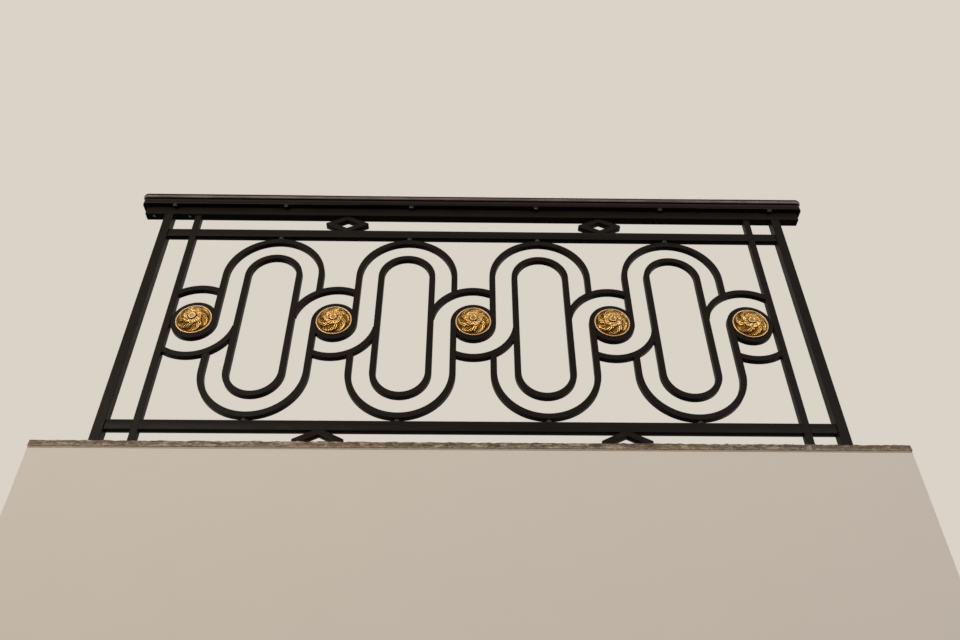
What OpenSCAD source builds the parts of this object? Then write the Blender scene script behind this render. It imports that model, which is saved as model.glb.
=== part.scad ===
// Juliet balcony: a black wrought iron railing on a thin marble sill.
// X runs along the opening, Y into the building, Z up.
// The origin is the middle of the sill's underside. The front faces -Y.
// A row of round ended loops stands between two rails. Scrolls pass over and under
// the loops and close into a ring round each gilded rosette.

/* [Pattern] */
// Distance from one rosette to the next
pitch = 450; // [420:1:560]
// Radius of a loop's round ends, on its middle line
loop_r = 86; // [60:1:92]
// Distance from a loop to the scroll beside it, on their middle lines
band_gap = 75; // [50:1:80]
// Length of a loop's straight sides
loop_straight = 398; // [300:1:520]
// Room between a scroll's crown and the rail
crown_room = 15.5; // [8:0.5:30]
// Radius of the turned collars in that room
collar_r = 11; // [8:0.5:12]
// Radius of a collar's necks
collar_neck_r = 7; // [5:0.5:7.5]

/* [Bars] */
// Square bar of the loops and scrolls
scroll_bar = 20; // [12:1:24]
// Square bar of the two rails
rail_bar = 25; // [20:1:32]
// Square bar of the outer posts
outer_post_bar = 31; // [25:1:40]
// Square bar of the inner posts
inner_post_bar = 22; // [16:1:30]
// Clear gap between the outer and the inner post
post_gap = 78; // [40:1:120]
// Flat worn on the bars' long edges
eased_edge = 1.2; // [0.5:0.1:2]

/* [Handrail] */
// Height of the flat bar under the handrail
handrail_bar_h = 37; // [20:1:50]
// How far the handrail runs on past the outer posts
handrail_end = 70; // [20:1:120]
// How far the cap stands out past the flat bar
cap_overhang = 18.5; // [8:0.5:30]
// Height of the cap's plain face
cap_face_h = 27; // [15:1:40]
// Radius of the bead along the cap's upper edge
cap_bead_r = 10.5; // [6:0.5:14]
// Depth and height of the groove under the bead
cap_quirk = 3; // [1.5:0.5:4]
// Rise of the cap's crowned top
cap_crown = 2; // [1:0.5:6]

/* [Lozenges] */
// Height of a lozenge, and so of the space between a rail and the handrail or the sill
lozenge_h = 75.5; // [50:0.5:110]
// Length of a lozenge
lozenge_w = 150; // [100:1:220]
// Height of its blunt side tips
lozenge_tip = 14; // [6:1:24]
// Width of the flat where it meets a rail
lozenge_seat = 14; // [6:1:30]
// Length of its diamond shaped opening
lozenge_hole_w = 68; // [30:1:90]
// Height of its diamond shaped opening
lozenge_hole_h = 40; // [20:1:50]

/* [Rosettes] */
// How far a rosette's edge laps over the ring round it
rosette_lap = 4; // [3:0.5:12]
// Play between a rosette's core and the ring
rosette_play = 0.3; // [0.1:0.1:0.8]
// Thickness of a rosette's back plate
plate_h = 2; // [1.5:0.5:4]
// Width of the plain rim, a half round bead on the plate
rim_w = 5; // [3:0.5:7]
// Gap between the rim and the tips of the leaves
leaf_gap = 2.5; // [1:0.5:5]
// Leaves round a rosette
leaves = 6; // [4:1:8]
// Lobes on each leaf
leaf_lobes = 3; // [2:1:4]
// How far a leaf turns round the middle from its root to its tip, in degrees
leaf_turn = 62; // [0:1:90]
// Height of the leaves' tips over the plate
leaf_tip_h = 2.5; // [1:0.5:6]
// Height of the leaves' roots over the plate
leaf_root_h = 18; // [8:0.5:24]
// Height of a lobe's rib over the furrows beside it
rib_h = 3.2; // [1:0.1:4]
// How far the valleys between the leaves lie below the leaves' middles
leaf_dip = 4; // [1:0.5:5]
// How far the notch between two lobes cuts in from the tips
lobe_notch = 3.5; // [1:0.5:6]
// How far the notch between two leaves cuts in further
leaf_notch = 6; // [2:0.5:10]
// Radius of the round button in the middle
button_r = 12.5; // [8:0.5:16]
// Height of the button over the ring that the rosette covers
button_h = 24.5; // [15:0.5:30]
// Depth of the hollow in the button's face
button_hollow = 1.5; // [0.5:0.5:3]
// Width of the button's raised rim
button_rim_w = 3; // [2:0.5:5]
// Rounding of the button's outer edge
button_edge = 2; // [0.5:0.5:3]

/* [Sill] */
// Thickness of the marble sill
sill_t = 20; // [15:1:50]
// How far the sill shows in front of the posts
sill_front = 52; // [20:1:120]
// How far the sill runs on past the handrail's ends
sill_end = 65; // [0:1:150]
// Flat along the sill's upper edges
sill_eased_edge = 3; // [1:0.5:5]

/* [Hidden] */

// The number of loops is one less than that of the rosettes, and NODES lists them all
loops = 4;

// Half widths of the bars
half_scroll = scroll_bar / 2;
half_rail = rail_bar / 2;

// The radii follow from the pitch, so that neighbours meet on their middle lines
arch_r = loop_r + band_gap;
ring_r = pitch / 2 - arch_r;
arc_r = ring_r + band_gap;
rosette_r = ring_r - half_scroll + rosette_lap;
arc_to_loop = arc_r - half_scroll;
arc_to_leg = ring_r - half_scroll;
spring_z = loop_straight / 2;

// Levels above and below the line of the rosettes
rail_inner_z = spring_z + arch_r + half_scroll + crown_room;
rail_z = rail_inner_z + half_rail;
rail_outer_z = rail_inner_z + rail_bar;
field_z = rail_outer_z + lozenge_h;
rosette_z = sill_t + field_z;
cap_h = cap_face_h + cap_quirk + 2 * cap_bead_r;

// Places along the railing, from its middle
ring_outer = ring_r + half_scroll;
inner_post_face = loops * pitch / 2 + ring_outer;
inner_post_x = inner_post_face + inner_post_bar / 2;
outer_post_face = inner_post_face + inner_post_bar + post_gap;
outer_post_x = outer_post_face + outer_post_bar / 2;
handrail_half = outer_post_face + outer_post_bar + handrail_end;
sill_half = handrail_half + sill_end;

// The feather edge of a bent bar is left off where it is thinner than about a millimetre
ring_start = 16;
arc_start = 10;
reach = 1000;

// The crown of leaves is a grid of points. Its columns follow the ribs and furrows out from
// the middle and swing round with the leaves. Its rows run from the root, 0, to the tip, 1.
columns_per_lobe = 4;
leaf_rows = [0, 0.08, 0.22, 0.4, 0.58, 0.76, 0.9, 1];
full_relief_row = 0.3;
tip_relief = 0.6;
root_gap = 0.6;
leaf_columns = leaves * leaf_lobes * columns_per_lobe;
leaf_root_r = button_r + root_gap;
leaf_tip_r = rosette_r - rim_w - leaf_gap;

IRON = [0.055, 0.055, 0.06];
PAINTED_WOOD = [0.05, 0.045, 0.045];
GILT = [0.80, 0.60, 0.22];
MARBLE = [0.62, 0.56, 0.50];

// A bar's section, w wide and d deep, with its corners eased
module bar_section(w, d) {
    x = w / 2;
    y = d / 2;
    e = eased_edge;
    polygon([[x, y - e], [x - e, y], [e - x, y], [-x, y - e],
        [-x, e - y], [e - x, -y], [x - e, -y], [x, e - y]]);
}

// An upright bar between two levels
module upright(w, d, z0, z1) {
    translate([0, 0, z0])
        linear_extrude(z1 - z0)
            bar_section(w, d);
}

// A level bar between two places along the railing
module level_bar(w, d, x0, x1) {
    translate([x0, 0, 0])
        rotate([0, 90, 0])
            linear_extrude(x1 - x0)
                bar_section(w, d);
}

// A scroll bar bent to radius r round the origin, from angle a0 to a1, in the plane of the railing
module bent_bar(r, a0, a1) {
    rotate([90, 0, 0])
        rotate([0, 0, a0])
            rotate_extrude(angle = a1 - a0)
                translate([r, 0])
                    bar_section(scroll_bar, scroll_bar);
}

// A round pin through the railing, as large as a bent bar's outside, to cut what ends on it
module round_cut(r) {
    rotate([90, 0, 0])
        cylinder(r = r + half_scroll, h = 3 * scroll_bar, center = true, $fn = 180);
}

// All that lies between two places along the railing
module between(x0, x1) {
    translate([x0, -reach / 2, -reach])
        cube([x1 - x0, reach, 2 * reach]);
}

function rosette_x(i) = (i - 1 - loops / 2) * pitch;
function loop_x(i) = (i - 0.5 - loops / 2) * pitch;

module at_rosette(i) {
    translate([rosette_x(i), 0, rosette_z])
        children();
}

module at_loop(i) {
    translate([loop_x(i), 0, rosette_z])
        children();
}

// Half a turn in the plane of the railing
module turned() {
    rotate([0, 180, 0])
        children();
}

module sill() {
    x = sill_half;
    y = outer_post_bar / 2 + sill_front;
    e = sill_eased_edge;
    color(MARBLE)
        translate([-x, 0, 0])
            rotate([90, 0, 90])
                linear_extrude(2 * x)
                    polygon([[-y, 0], [y, 0], [y, sill_t - e], [y - e, sill_t], [e - y, sill_t],
                        [-y, sill_t - e]]);
}

module post(x, bar) {
    color(IRON)
        translate([x, 0, 0])
            upright(bar, bar, sill_t, rosette_z + field_z);
}

// A rail in three lengths: its middle, and a short one between the posts at each end
module rail(z) {
    color(IRON)
        translate([0, 0, z]) {
            level_bar(rail_bar, rail_bar, -inner_post_face, inner_post_face);
            for (side = [-1, 1])
                translate([side * (inner_post_face + inner_post_bar + post_gap / 2), 0, 0])
                    level_bar(rail_bar, rail_bar, -post_gap / 2, post_gap / 2);
        }
}

module handrail_bar() {
    color(IRON)
        translate([0, 0, rosette_z + field_z + handrail_bar_h / 2])
            level_bar(handrail_bar_h, outer_post_bar, -handrail_half, handrail_half);
}

// The cap's section: a plain face, a groove, a bead on each side and a crowned top
module cap_section() {
    half = outer_post_bar / 2 + cap_overhang;
    bead_x = half - cap_bead_r;
    bead_z = cap_face_h + cap_quirk + cap_bead_r;
    crown_r = (bead_x * bead_x + cap_crown * cap_crown) / (2 * cap_crown);
    translate([-half, 0])
        square([2 * half, cap_face_h]);
    translate([cap_quirk - half, 0])
        square([2 * (half - cap_quirk), bead_z]);
    for (side = [-1, 1])
        translate([side * bead_x, bead_z])
            circle(r = cap_bead_r, $fn = 64);
    translate([-bead_x, bead_z])
        square([2 * bead_x, cap_bead_r]);
    intersection() {
        translate([0, cap_h + cap_crown - crown_r])
            circle(r = crown_r, $fn = 360);
        translate([-bead_x, bead_z])
            square([2 * bead_x, 2 * cap_bead_r]);
    }
}

module handrail_cap() {
    color(PAINTED_WOOD)
        translate([-handrail_half, 0, rosette_z + field_z + handrail_bar_h])
            rotate([90, 0, 90])
                linear_extrude(2 * handrail_half)
                    cap_section();
}

// A closed loop with straight sides and round ends
module loop(i) {
    color(IRON)
        at_loop(i) {
            for (side = [-1, 1]) {
                translate([side * loop_r, 0, 0])
                    upright(scroll_bar, scroll_bar, -spring_z, spring_z);
            }
            translate([0, 0, spring_z])
                bent_bar(loop_r, 0, 180);
            translate([0, 0, -spring_z])
                bent_bar(loop_r, 180, 360);
        }
}

// A scroll over one loop. It hooks under the rosette on the left, rises beside the loop,
// arches over it and comes down on the arc over the next rosette. Its hook ends against
// the scroll that it meets, or, on the first one, runs on to the post.
module scroll(is_first) {
    next_x = pitch / 2;
    hook_end = is_first ? 180 : 180 + ring_start;
    hook_face = is_first ? ring_outer : ring_r - half_scroll;
    intersection() {
        translate([-next_x, 0, 0])
            bent_bar(ring_r, hook_end, 360);
        translate([-next_x, 0, 0])
            between(-hook_face, ring_outer);
    }
    translate([-arch_r, 0, 0])
        upright(scroll_bar, scroll_bar, 0, spring_z);
    translate([0, 0, spring_z])
        bent_bar(arch_r, 0, 180);
    difference() {
        translate([arch_r, 0, 0])
            upright(scroll_bar, scroll_bar, ring_r, spring_z);
        translate([next_x, 0, 0])
            round_cut(arc_r);
    }
}

module top_scroll(i) {
    color(IRON)
        at_loop(i)
            scroll(i == 1);
}

module bottom_scroll(i) {
    color(IRON)
        at_loop(i)
            turned()
                scroll(i == loops);
}

// An arc over a rosette, cut where it meets what stands left and right of it
module ring_arc(left, right) {
    intersection() {
        bent_bar(arc_r, ring_start, 180 - arc_start);
        between(-left, right);
    }
}

module over_arc(i) {
    color(IRON)
        at_rosette(i)
            ring_arc(i == 1 ? ring_outer : arc_to_loop, i == loops + 1 ? ring_outer : arc_to_leg);
}

module under_arc(i) {
    color(IRON)
        at_rosette(i)
            turned()
                ring_arc(i == loops + 1 ? ring_outer : arc_to_loop, i == 1 ? ring_outer : arc_to_leg);
}

// Half a ring that closes the round beside a post, where no scroll comes from
module end_ring() {
    intersection() {
        bent_bar(ring_r, ring_start, 180);
        between(-ring_outer, ring_r - half_scroll);
    }
}

module end_ring_left() {
    color(IRON)
        at_rosette(1)
            end_ring();
}

module end_ring_right() {
    color(IRON)
        at_rosette(loops + 1)
            turned()
                end_ring();
}

// Where a column lies across its leaf, from 0 to 1
function across_leaf(column) = column * leaves / leaf_columns - floor(column * leaves / leaf_columns);

// 1 on a lobe's rib and 0 in the furrow beside it
function on_rib(column) = (1 - cos(360 * column / columns_per_lobe)) / 2;

// 1 along the leaf's middle and 0 where two leaves meet
function on_leaf(column) = sin(180 * across_leaf(column));

function tip_r(column) =
    leaf_tip_r - lobe_notch * (1 - on_rib(column)) - leaf_notch * (1 - on_leaf(column));

function leaf_h(row) = leaf_tip_h + (leaf_root_h - leaf_tip_h) * (1 - pow(row, 1.7));

// The ribs and valleys fade out at the root and are shallower at the tip
function relief(column, row) =
    (rib_h * (on_rib(column) - 1 / 2) + leaf_dip * (on_leaf(column) - 1))
    * min(1, row / full_relief_row) * (1 - (1 - tip_relief) * row);

function leaf_point(column, row) =
    let (r = leaf_root_r + (tip_r(column) - leaf_root_r) * row,
        a = 360 * column / leaf_columns - leaf_turn * pow(row, 1.25))
    [r * cos(a), r * sin(a), leaf_h(row) + relief(column, row)];

// The leaves of one face, a closed ring round the button that is rooted in the plate
module leaf_crown() {
    n = leaf_columns;
    on_plate = [for (row = [1, 0]) for (c = [0:n - 1])
        [leaf_point(c, row).x, leaf_point(c, row).y, -plate_h / 2]];
    points = concat([for (row = leaf_rows) for (c = [0:n - 1]) leaf_point(c, row)], on_plate);
    rows = len(leaf_rows) + 2;
    polyhedron(points, [for (r = [0:rows - 1]) for (c = [0:n - 1])
        let (d = (c + 1) % n, a = r * n, b = (r + 1) % rows * n)
            each [[a + c, a + d, b + d], [a + c, b + d, b + c]]]);
}

// One face of a rosette, standing on the origin and facing up
module rosette_face() {
    cylinder(r = rosette_r, h = plate_h, $fn = 96);
    rotate_extrude($fn = 96)
        intersection() {
            translate([rosette_r - rim_w / 2, plate_h])
                circle(d = rim_w, $fn = 32);
            translate([rosette_r - rim_w, plate_h / 2])
                square(rim_w);
        }
    translate([0, 0, plate_h])
        leaf_crown();
    button();
}

// The round button in the middle, with a raised rim round a shallow hollow
module button() {
    rim_r = button_r - button_edge;
    edge_h = button_h - button_edge;
    rotate_extrude($fn = 96) {
        polygon([[0, plate_h / 2], [button_r, plate_h / 2], [button_r, edge_h], [rim_r, edge_h],
            [rim_r, button_h], [rim_r - button_rim_w, button_h], [0, button_h - button_hollow]]);
        translate([rim_r, edge_h])
            circle(r = button_edge, $fn = 32);
    }
}

module rosette(i) {
    core_r = ring_r - half_scroll - rosette_play;
    color(GILT)
        at_rosette(i) {
            rotate([90, 0, 0])
                cylinder(r = core_r, h = scroll_bar, center = true, $fn = 96);
            for (side = [0, 180])
                rotate([0, 0, side])
                    translate([0, -half_scroll, 0])
                        rotate([90, 0, 0])
                            rosette_face();
        }
}

// A lozenge with a diamond shaped opening, standing on the line of its middle
module lozenge() {
    w = lozenge_w / 2;
    h = lozenge_h / 2;
    tip = lozenge_tip / 2;
    seat = lozenge_seat / 2;
    hole_w = lozenge_hole_w / 2;
    hole_h = lozenge_hole_h / 2;
    color(IRON)
        rotate([90, 0, 0])
            linear_extrude(rail_bar, center = true)
                difference() {
                    polygon([[w, -tip], [w, tip], [seat, h], [-seat, h],
                        [-w, tip], [-w, -tip], [-seat, -h], [seat, -h]]);
                    polygon([[hole_w, 0], [0, hole_h], [-hole_w, 0], [0, -hole_h]]);
                }
}

module lozenge_at(i, side) {
    translate([rosette_x(i), 0, rosette_z + side * (rail_outer_z + lozenge_h / 2)])
        lozenge();
}

// A turned collar, swelling between two necks, that stands on a scroll's crown under the rail
module collar() {
    mid = crown_room / 2;
    swell_r = (mid * mid + pow(collar_r - collar_neck_r, 2)) / (2 * (collar_r - collar_neck_r));
    translate([0, 0, -half_scroll])
        cylinder(r = collar_neck_r, h = crown_room + half_scroll, $fn = 64);
    rotate_extrude($fn = 64)
        intersection() {
            translate([collar_r - swell_r, mid])
                circle(r = swell_r, $fn = 96);
            square([collar_r, crown_room]);
        }
}

module collars(side) {
    color(IRON)
        for (i = [1:loops])
            at_loop(i)
                rotate([0, side > 0 ? 0 : 180, 0])
                    difference() {
                        translate([0, 0, rail_inner_z - crown_room])
                            collar();
                        translate([0, 0, spring_z])
                            round_cut(arch_r);
                    }
}

sill();
post(-outer_post_x, outer_post_bar);  // outer_post_left
post(outer_post_x, outer_post_bar);  // outer_post_right
post(-inner_post_x, inner_post_bar);  // inner_post_left
post(inner_post_x, inner_post_bar);  // inner_post_right
rail(rosette_z + rail_z);  // top_rail
rail(rosette_z - rail_z);  // bottom_rail
handrail_bar();
handrail_cap();
loop(1);  // loop_1
loop(2);  // loop_2
loop(3);  // loop_3
loop(4);  // loop_4
top_scroll(1);  // top_scroll_1
top_scroll(2);  // top_scroll_2
top_scroll(3);  // top_scroll_3
top_scroll(4);  // top_scroll_4
bottom_scroll(1);  // bottom_scroll_1
bottom_scroll(2);  // bottom_scroll_2
bottom_scroll(3);  // bottom_scroll_3
bottom_scroll(4);  // bottom_scroll_4
over_arc(1);  // over_arc_1
over_arc(2);  // over_arc_2
over_arc(3);  // over_arc_3
over_arc(4);  // over_arc_4
over_arc(5);  // over_arc_5
under_arc(1);  // under_arc_1
under_arc(2);  // under_arc_2
under_arc(3);  // under_arc_3
under_arc(4);  // under_arc_4
under_arc(5);  // under_arc_5
end_ring_left();
end_ring_right();
rosette(1);  // rosette_1
rosette(2);  // rosette_2
rosette(3);  // rosette_3
rosette(4);  // rosette_4
rosette(5);  // rosette_5
lozenge_at(2, 1);  // upper_lozenge_left
lozenge_at(4, 1);  // upper_lozenge_right
lozenge_at(2, -1);  // lower_lozenge_left
lozenge_at(4, -1);  // lower_lozenge_right
collars(1);  // top_collars
collars(-1);  // bottom_collars
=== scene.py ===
"""The looks of a wrought iron window balcony: rails, lozenges, gilded rosettes, a moulded
handrail cap, screws, a worn marble sill, the paint on the bars, and the stage that they are
photographed on.

Each piece is an operator in the add-on's panel. The posts, the scrolls, the loops, the arcs,
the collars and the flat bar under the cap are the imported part's own, and take their paint here.
"""

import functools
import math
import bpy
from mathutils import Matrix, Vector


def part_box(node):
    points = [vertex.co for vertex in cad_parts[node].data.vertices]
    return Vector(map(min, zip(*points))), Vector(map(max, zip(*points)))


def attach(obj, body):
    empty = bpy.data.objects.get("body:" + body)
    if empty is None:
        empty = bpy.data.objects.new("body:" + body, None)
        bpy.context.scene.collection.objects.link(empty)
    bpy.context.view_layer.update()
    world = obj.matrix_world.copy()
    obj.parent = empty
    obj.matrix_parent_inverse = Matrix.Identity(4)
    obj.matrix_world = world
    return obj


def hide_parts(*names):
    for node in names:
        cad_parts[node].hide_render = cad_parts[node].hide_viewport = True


bl_info = {
    "name": "Juliet Balcony",
    "version": (1, 0, 0),
    "blender": (4, 5, 0),
    "location": "View3D > Sidebar > Balcony",
    "description": "Gilded rosettes, screws, a worn marble sill and paint for an iron balcony",
    "category": "Add Mesh",
}

import bmesh
import bpy
import numpy as np
from mathutils import Matrix, Vector

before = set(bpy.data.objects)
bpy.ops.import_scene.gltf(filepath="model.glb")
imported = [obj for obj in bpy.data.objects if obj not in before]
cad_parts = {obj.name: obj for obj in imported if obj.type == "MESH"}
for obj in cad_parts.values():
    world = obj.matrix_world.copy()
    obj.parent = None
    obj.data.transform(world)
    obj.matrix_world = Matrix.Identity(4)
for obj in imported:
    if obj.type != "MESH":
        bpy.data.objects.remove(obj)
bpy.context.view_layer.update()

MM = 0.001
X, Y, Z = range(3)
LOOPS = ["loop_%d" % number for number in (1, 2, 3, 4)]
ROSETTES = ["rosette_%d" % number for number in (1, 2, 3, 4, 5)]
LOZENGES = ["upper_lozenge_left", "upper_lozenge_right", "lower_lozenge_left",
            "lower_lozenge_right"]
RAILS = ["top_rail", "bottom_rail"]
COLLARS = ["top_collars", "bottom_collars"]


def middle(node):
    """The middle of a CAD node's box."""
    low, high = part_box(node)
    return (low + high) / 2


def half_size(node):
    """Half the size of a CAD node's box."""
    low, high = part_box(node)
    return (high - low) / 2


def linear(hex_colour):
    """An sRGB hex colour as the linear RGBA that shaders take."""
    parts = [int(hex_colour[i:i + 2], 16) / 255 for i in (0, 2, 4)]
    return [p / 12.92 if p <= 0.04045 else ((p + 0.055) / 1.055) ** 2.4 for p in parts] + [1.0]


# Modelling helpers


def start_afresh():
    """Leaves edit mode and lets go of everything."""
    if bpy.context.object and bpy.context.object.mode != "OBJECT":
        bpy.ops.object.mode_set(mode="OBJECT")
    bpy.ops.object.select_all(action="DESELECT")


def take(piece):
    """Selects one piece, and nothing else."""
    start_afresh()
    piece.select_set(True)
    bpy.context.view_layer.objects.active = piece


def opened(name):
    """Names the new primitive, puts its size and place into its mesh, and opens it."""
    piece = bpy.context.object
    piece.name = name
    piece.data.name = name
    bpy.ops.object.transform_apply(location=True, rotation=True, scale=True)
    bpy.ops.object.mode_set(mode="EDIT")
    return piece


def reopened(piece):
    """Takes a closed piece into edit mode once more."""
    take(piece)
    bpy.ops.object.mode_set(mode="EDIT")
    return piece


def block(name, place, size, turned=0.0):
    """A block of some size with its middle at a place, turned about the upright, and opened."""
    start_afresh()
    bpy.ops.mesh.primitive_cube_add(size=1, location=place, scale=size, rotation=(0, 0, turned))
    return opened(name)


def pick(piece, kind, test):
    """Selects the parts that pass a test of a vert's place, an edge's ends or a face's normal."""
    bpy.context.tool_settings.mesh_select_mode = [kind == k for k in ("VERT", "EDGE", "FACE")]
    bpy.ops.mesh.select_all(action="DESELECT")
    mesh = bmesh.from_edit_mesh(piece.data)
    mesh.normal_update()
    parts, asked = {"VERT": (mesh.verts, lambda vert: (vert.co,)),
                    "EDGE": (mesh.edges, lambda edge: [end.co for end in edge.verts]),
                    "FACE": (mesh.faces, lambda face: (face.normal,))}[kind]
    for part in parts:
        part.select_set(bool(test(*asked(part))))
    mesh.select_flush_mode()
    bmesh.update_edit_mesh(piece.data)


def cut_across(axis, places):
    """Cuts the open piece square to an axis at some places along it, and keeps both sides."""
    normal = Vector([float(axis == other) for other in (X, Y, Z)])
    for place in places:
        bpy.ops.mesh.select_all(action="SELECT")
        bpy.ops.mesh.bisect(plane_co=normal * place, plane_no=normal)


def disc(name, sides, radius, thick):
    """A disc that hangs from the origin, opened, with its lower face picked."""
    start_afresh()
    bpy.ops.mesh.primitive_cylinder_add(vertices=sides, radius=radius, depth=thick,
                                        location=(0, 0, -thick / 2))
    piece = opened(name)
    pick(piece, "FACE", lambda normal: normal.z < -0.9)
    return piece


def prism(name, corners, depth):
    """A prism that lies along Y, with its corners in X and Z counted round from the right."""
    start_afresh()
    bpy.ops.mesh.primitive_cylinder_add(vertices=len(corners), depth=depth,
                                        rotation=(math.pi / 2, 0, 0))
    piece = opened(name)
    start_afresh()
    for vert in piece.data.vertices:
        turns = math.atan2(vert.co.z, vert.co.x) / (2 * math.pi)
        vert.co.x, vert.co.z = corners[round(turns * len(corners)) % len(corners)]
    return piece


def close_up(piece, angle=35):
    """Merges doubles, turns the faces outwards and smooths all but the sharp edges."""
    if piece.mode != "EDIT":
        reopened(piece)
    bpy.ops.mesh.select_all(action="SELECT")
    bpy.ops.mesh.remove_doubles(threshold=0.01 * MM)
    bpy.ops.mesh.normals_make_consistent(inside=False)
    bpy.ops.object.mode_set(mode="OBJECT")
    bpy.ops.object.shade_smooth_by_angle(angle=math.radians(angle))


def copy_of(piece, name, place):
    """A copy with its own mesh, put in place by a matrix."""
    twin = piece.copy()
    twin.data = piece.data.copy()
    twin.name = name
    twin.data.name = name
    twin.data.transform(place)
    bpy.context.scene.collection.objects.link(twin)
    return twin


def joined(pieces, name):
    """Several pieces as one object."""
    take(pieces[0])
    for piece in pieces:
        piece.select_set(True)
    bpy.ops.object.join()
    whole = bpy.context.object
    whole.name = name
    whole.data.name = name
    return whole


def finished(piece, kind, **settings):
    """Adds one modifier with its settings and applies it."""
    take(piece)
    modifier = piece.modifiers.new(kind.title(), kind)
    for name, value in settings.items():
        setattr(modifier, name, value)
    bpy.ops.object.modifier_apply(modifier=modifier.name)


def ease(piece, width, angle):
    """Rounds the edges of a closed piece that are sharper than an angle in degrees."""
    finished(piece, "BEVEL", width=width, segments=2, limit_method="ANGLE",
             angle_limit=math.radians(angle))


def cut_out(piece, cutter):
    """Cuts one piece out of another, and removes it."""
    finished(piece, "BOOLEAN", operation="DIFFERENCE", object=cutter, solver="EXACT")
    bpy.data.objects.remove(cutter)


def painted(piece, finish):
    """Gives a piece one finish in all its material slots."""
    if not piece.material_slots:
        piece.data.materials.append(finish)
    for slot in piece.material_slots:
        slot.material = finish


def part_of_balcony(piece, slot, finish, *stands_for):
    """Rides a finished piece on the fixed body, in place of the CAD nodes named."""
    painted(piece, finish)
    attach(piece, "root")
    if stands_for:
        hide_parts(*stands_for)


# Finishes
#
# A Mix node's inputs go by number: 0 is the share, 6 and 7 are the two colours. So do those of
# a MapRange node: 0 is the value, 1 and 2 are its range, 3 and 4 the range that it becomes. A
# range that isn't given is 0 to 1.


def add_node(tree, kind, inputs=None, **settings):
    """Adds one shader node with its settings. An input is a value, or a node or socket to link."""
    node = tree.nodes.new("ShaderNode" + kind)
    for name, value in settings.items():
        setattr(node, name, value)
    for name, value in (inputs or {}).items():
        if isinstance(value, bpy.types.Node):
            value = next(socket for socket in value.outputs if socket.enabled)
        if isinstance(value, bpy.types.NodeSocket):
            tree.links.new(value, node.inputs[name])
        else:
            node.inputs[name].default_value = value
    return node


def new_finish(name):
    """An empty material, what adds a node to it, and the place on the object."""
    finish = bpy.data.materials.get(name) or bpy.data.materials.new(name)
    finish.use_nodes = True
    tree = finish.node_tree
    tree.nodes.clear()
    add = functools.partial(add_node, tree)
    return finish, add, add("TexCoord").outputs["Object"]


def black_enamel(name="black_enamel_on_iron", shine=0.08, smoothness=0.0):
    """Black enamel, brushed on forged bar: a satin film over soft hammered flats.

    On turned pieces the film lies smoother and shines more.
    """
    colours = bpy.context.scene.balcony_colours
    finish, add, place = new_finish(name)
    # Dulled and bright patches of a hand's width, and the film's 2 mm ripple
    patches = add("TexNoise", {"Vector": place, "Scale": 12.0, "Detail": 3.0})
    ripple = add("TexNoise", {"Vector": place, "Scale": 450.0, "Detail": 2.0})
    # The hammer's flats are about 25 mm across and a few tenths deep
    flats = add("TexNoise", {"Vector": place, "Scale": 40.0, "Detail": 1.0})
    tone = add("Mix", {0: patches, 6: colours.enamel, 7: colours.enamel_dust}, data_type="RGBA")
    gloss = add("MapRange", {0: patches, 1: 0.3, 2: 0.7,
                             3: 0.38 - smoothness, 4: 0.52 - smoothness})
    soft = add("Bump", {"Height": flats, "Strength": 0.35, "Distance": 0.6 * MM})
    fine = add("Bump", {"Height": ripple, "Strength": 0.25, "Distance": 0.1 * MM, "Normal": soft})
    shader = add("BsdfPrincipled", {
        "Base Color": tone, "Roughness": gloss, "Normal": fine, "IOR": 1.5,
        "Specular IOR Level": shine})
    add("OutputMaterial", {"Surface": shader})
    return finish


def handrail_lacquer():
    """Black-brown oil lacquer on hardwood: glossier than the iron, with drawn-out grain.

    A paler line along the lower half of the nosing is a painted reflection of a bright ground in
    front.
    """
    colours = bpy.context.scene.balcony_colours
    fittings = bpy.context.scene.balcony_fittings
    finish, add, place = new_finish("black_lacquer_on_hardwood")
    # The grain runs along the rail, in 1.5 mm pores drawn out to 60 mm. The gloss and the painted
    # reflection come and go over 110 mm.
    drawn = add("Mapping", {"Vector": place, "Scale": (16.0, 650.0, 650.0)})
    grain = add("TexNoise", {"Vector": drawn, "Scale": 1.0, "Detail": 3.0})
    rubbed = add("TexNoise", {"Vector": place, "Scale": 9.0, "Detail": 4.0})
    lacquer = add("Mix", {0: grain, 6: colours.lacquer, 7: colours.lacquer_light}, data_type="RGBA")
    # The painted reflection is a line about 8 mm wide under the nosing's widest level. The face
    # below gets none.
    face_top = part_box("handrail_cap")[0].z + fittings.cap_face
    reflection_level = face_top + 0.76 * fittings.nose_radius
    level = add("SeparateXYZ", {"Vector": place}).outputs["Z"]
    off_line = add("Math", {0: level, 1: reflection_level}, operation="SUBTRACT")
    near_line = add("Math", {0: off_line}, operation="ABSOLUTE")
    line = add("MapRange", {0: near_line, 1: 4.5 * MM, 2: 3 * MM})
    amount = add("MapRange", {0: rubbed, 1: 0.35, 2: 0.65, 3: 0.5})
    reflection_share = add("Math", {0: line, 1: amount}, operation="MULTIPLY")
    on_nosing = add("Math", {0: level, 1: face_top}, operation="GREATER_THAN")
    reflection_share = add("Math", {0: reflection_share, 1: on_nosing}, operation="MULTIPLY")
    # Painted reflection: a paler lacquer colour along that line
    tone = add("Mix", {0: reflection_share, 6: lacquer, 7: colours.lacquer_reflection}, data_type="RGBA")
    gloss = add("MapRange", {0: rubbed, 1: 0.3, 2: 0.7, 3: 0.16, 4: 0.30})
    pores = add("Bump", {"Height": grain, "Strength": 0.2, "Distance": 0.1 * MM})
    shader = add("BsdfPrincipled", {
        "Base Color": tone, "Roughness": gloss, "Normal": pores, "IOR": 1.5,
        "Specular IOR Level": 0.08, "Coat Weight": 0.06, "Coat Roughness": 0.08})
    add("OutputMaterial", {"Surface": shader})
    return finish


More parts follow.
